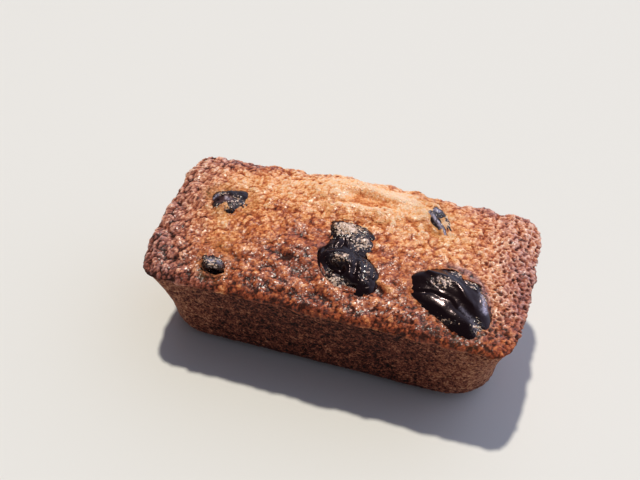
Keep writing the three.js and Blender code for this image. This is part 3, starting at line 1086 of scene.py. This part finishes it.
def refined_solid(name):
    """Points and faces of a CAD solid, joined and made finer and smoother."""
    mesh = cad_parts[name].data.copy()
    piece = bpy.data.objects.new(name + "_fine", mesh)
    bpy.context.scene.collection.objects.link(piece)
    piece.modifiers.new("join", "WELD").merge_threshold = JOIN_DISTANCE
    finer = piece.modifiers.new("finer", "SUBSURF")
    finer.levels = FINER_LEVELS
    finer.render_levels = FINER_LEVELS
    evaluated = piece.evaluated_get(bpy.context.evaluated_depsgraph_get())
    shape = evaluated.to_mesh()
    points = np.zeros(len(shape.vertices) * 3)
    shape.vertices.foreach_get("co", points)
    faces = [list(polygon.vertices) for polygon in shape.polygons]
    evaluated.to_mesh_clear()
    bpy.data.objects.remove(piece)
    return points.reshape(-1, 3) / MM, faces


def flattening(points, start, end, width, slope):
    """Relief that takes some slope off a band along a line, as where a skin caved in to a flat."""
    run = np.array(end) - np.array(start)
    length = np.linalg.norm(run)
    offset = points[:, :2] - np.array(start)
    along = offset @ run / length
    across = offset @ np.array([-run[1], run[0]]) / length
    beyond = np.maximum(np.maximum(-along, along - length), 0)
    return -slope * across * np.exp(-((across / width) ** 4) - beyond**2)


def spread_over(points, places):
    """The greatest of several soft patches at each point."""
    patches = [strength * bump(points, middle, half) for middle, half, strength in places]
    return np.max(patches, axis=0) if patches else np.zeros(len(points))


def fruit_piece(name, lump, fold, rough, lines, sugary, dusky=(), flats=(), waxy=()):
    """A fruit's solid made finer, with its skin's relief and the values that its material reads."""
    points, faces = refined_solid(name)
    quads = np.array(faces)
    above = smooth_step(points[:, 2] - top_height(points), *ABOVE_CRUMB)
    wave = wobble(points, SKIN_WAVE_PITCH)
    ripple = wobble(points, SKIN_RIPPLE_PITCH, SKIN_RIPPLE_SHIFT)
    warped = points + SKIN_WAVE * wave
    ragged = points + SKIN_RIPPLE * ripple

    sugar = spread_over(warped, sugary)
    grit = smooth_step(sugar, *GRIT_BAND)
    dusk = smooth_step(spread_over(warped, dusky) + blotches(points, DUSK_BLOTCHES), *DUSK_BAND)
    # Pale lilac streaks: partly a bloom of wax, partly painted reflection.
    wax = np.zeros(len(points))
    for line, width, strength in waxy:
        wax = np.maximum(wax, strength * stripe(ragged, line, width))

    along = fruit_ball(name)[1][:, 0]
    shortened = points - np.outer(points @ along, along) * (1 - 1 / FOLD_STRETCH)
    relief = lump * cobbles(points + SKIN_LUMP_WAVE * wave, SKIN_LUMP_PITCH)
    relief += fold * (FOLD_MIDDLE - np.abs(lumps(shortened + SKIN_WAVE * wave, FOLD_PITCH)))
    for line, width, size in lines:
        relief += size * stripe(warped, line, width)
    for flat in flats:
        relief += flattening(warped, *flat)
    relief += GRIT_SIZE * grit * cobbles(ragged, GRIT_PITCH)
    points += vertex_normals(points, quads) * (above * relief)[:, None]

    piece = new_piece(name + "_skin", points, faces)
    rough = rough + DUSK_ROUGHNESS * dusk + GRIT_ROUGHNESS * grit
    paint(piece, sugar=sugar, dusk=dusk, wax=wax, rough=rough, sticky=GRIT_GLOSS * grit)
    return piece


def between(tree, value, low, high):
    """0 up to the low value, 1 from the high one, and even between them."""
    return add(tree, "ShaderNodeMapRange", {"Value": value, "From Min": low, "From Max": high}).outputs[0]


def fruit_material():
    material, tree, surface = new_material("glossy fruit skin")
    fine = noise(tree, SKIN_FINE_SCALE)
    dusk = math_node(tree, "MULTIPLY", attribute(tree, "dusk"), fine)
    colour = mix_colour(tree, dusk, SKIN_COLOUR, DUSK_COLOUR)
    # Partly a bloom of wax, partly painted reflection.
    wax = math_node(tree, "MULTIPLY", attribute(tree, "wax"), between(tree, fine, *WAX_BAND))
    colour = mix_colour(tree, wax, colour, WAX_COLOUR)
    grain = add(tree, "ShaderNodeSeparateColor", {"Color": cells(tree, SUGAR_SCALE)}).outputs["Red"]
    sugar_colour = mix_colour(tree, grain, OCHRE_COLOUR, SUGAR_COLOUR)
    sugar = attribute(tree, "sugar")
    specks = math_node(tree, "MULTIPLY_ADD", sugar, SUGAR_SHARE, noise(tree, SPECK_SCALE))
    colour = mix_colour(tree, between(tree, specks, *SPECK_BAND), colour, sugar_colour)
    skin_normal = add(tree, "ShaderNodeBump", {"Height": fine, **SKIN_BUMP}).outputs["Normal"]
    fill(tree, surface, {
        "Base Color": colour,
        "Roughness": attribute(tree, "rough"),
        "Normal": skin_normal,
        "Coat Weight": attribute(tree, "sticky"),
        "Coat Normal": facets(tree, skin_normal, SKIN_GLINT_SCALE, SKIN_GLINT_TILT),
        **SKIN_SURFACE,
    })
    return material


fruit_skin = fruit_material()
for fruit_name in fruit_names:
    fruit = fruit_piece(fruit_name, **FRUIT_LOOK[fruit_name])
    fruit.data.materials.append(fruit_skin)
    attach(fruit, "root")
    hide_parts(fruit_name)


# Stage
# A plain pale floor, one high key light from behind the cake's left, and a soft cool surround that is
# brighter at the back. The camera looks down on the front from a little to the right.

FLOOR_SIZE = 3.0
FLOOR_COLOUR = (0.745, 0.714, 0.67, 1)
FLOOR_ROUGHNESS = 0.7
KEY_WAY = Vector((-0.16, 0.24, 1.0))
KEY_STRENGTH = 2.6
KEY_COLOUR = (1.0, 0.97, 0.86)
KEY_ANGLE = math.radians(3)
SURROUND_FRONT = (0.105, 0.105, 0.125, 1)
SURROUND_BACK = (1.02, 1.19, 1.62, 1)
SURROUND_WAY = (0.68, 0.7, 0.0)
CAMERA_TARGET = Vector((-12.49, 24.46, 0.0)) * MM
CAMERA_DISTANCE = 262.7 * MM
CAMERA_AZIMUTH = math.radians(15.97)
CAMERA_ELEVATION = math.radians(45.24)
CAMERA_ROLL = math.radians(1.47)
CAMERA_LENS = 56.25
CAMERA_CLIP = 0.01

half_floor = FLOOR_SIZE / 2 / MM
floor_corners = np.array([(-1, -1, 0), (1, -1, 0), (1, 1, 0), (-1, 1, 0)]) * half_floor
floor = new_piece("floor", floor_corners, [[0, 1, 2, 3]])
floor_paint, floor_tree, floor_surface = new_material("pale floor")
fill(floor_tree, floor_surface, {"Base Color": FLOOR_COLOUR, "Roughness": FLOOR_ROUGHNESS})
floor.data.materials.append(floor_paint)

key = bpy.data.lights.new("key", "SUN")
key.energy = KEY_STRENGTH
key.color = KEY_COLOUR
key.angle = KEY_ANGLE
key_holder = bpy.data.objects.new("key", key)
key_holder.rotation_euler = KEY_WAY.to_track_quat("Z", "Y").to_euler()
bpy.context.scene.collection.objects.link(key_holder)

world = bpy.data.worlds.new("surround")
world.use_nodes = True
world_tree = world.node_tree
way = add(world_tree, "ShaderNodeTexCoord").outputs["Generated"]
to_back = add(world_tree, "ShaderNodeVectorMath", {0: way, 1: SURROUND_WAY}, operation="DOT_PRODUCT")
back_share = between(world_tree, to_back.outputs["Value"], 0.0, 1.0)
surround = mix_colour(world_tree, back_share, SURROUND_FRONT, SURROUND_BACK)
world_tree.links.new(surround, world_tree.nodes["Background"].inputs["Color"])
bpy.context.scene.world = world

back = Vector((
    math.sin(CAMERA_AZIMUTH) * math.cos(CAMERA_ELEVATION),
    -math.cos(CAMERA_AZIMUTH) * math.cos(CAMERA_ELEVATION),
    math.sin(CAMERA_ELEVATION),
))
level = Vector((0, 0, 1)).cross(back).normalized()
upright = back.cross(level)
right = level * math.cos(CAMERA_ROLL) + upright * math.sin(CAMERA_ROLL)
up = back.cross(right)
camera = bpy.data.objects.new("camera", bpy.data.cameras.new("camera"))
camera.data.lens = CAMERA_LENS
camera.data.clip_start = CAMERA_CLIP
facing = Matrix((right, up, back)).transposed().to_4x4()
camera.matrix_world = Matrix.Translation(CAMERA_TARGET + back * CAMERA_DISTANCE) @ facing
bpy.context.scene.collection.objects.link(camera)
bpy.context.scene.camera = camera
bpy.context.scene.view_settings.view_transform = "Standard"
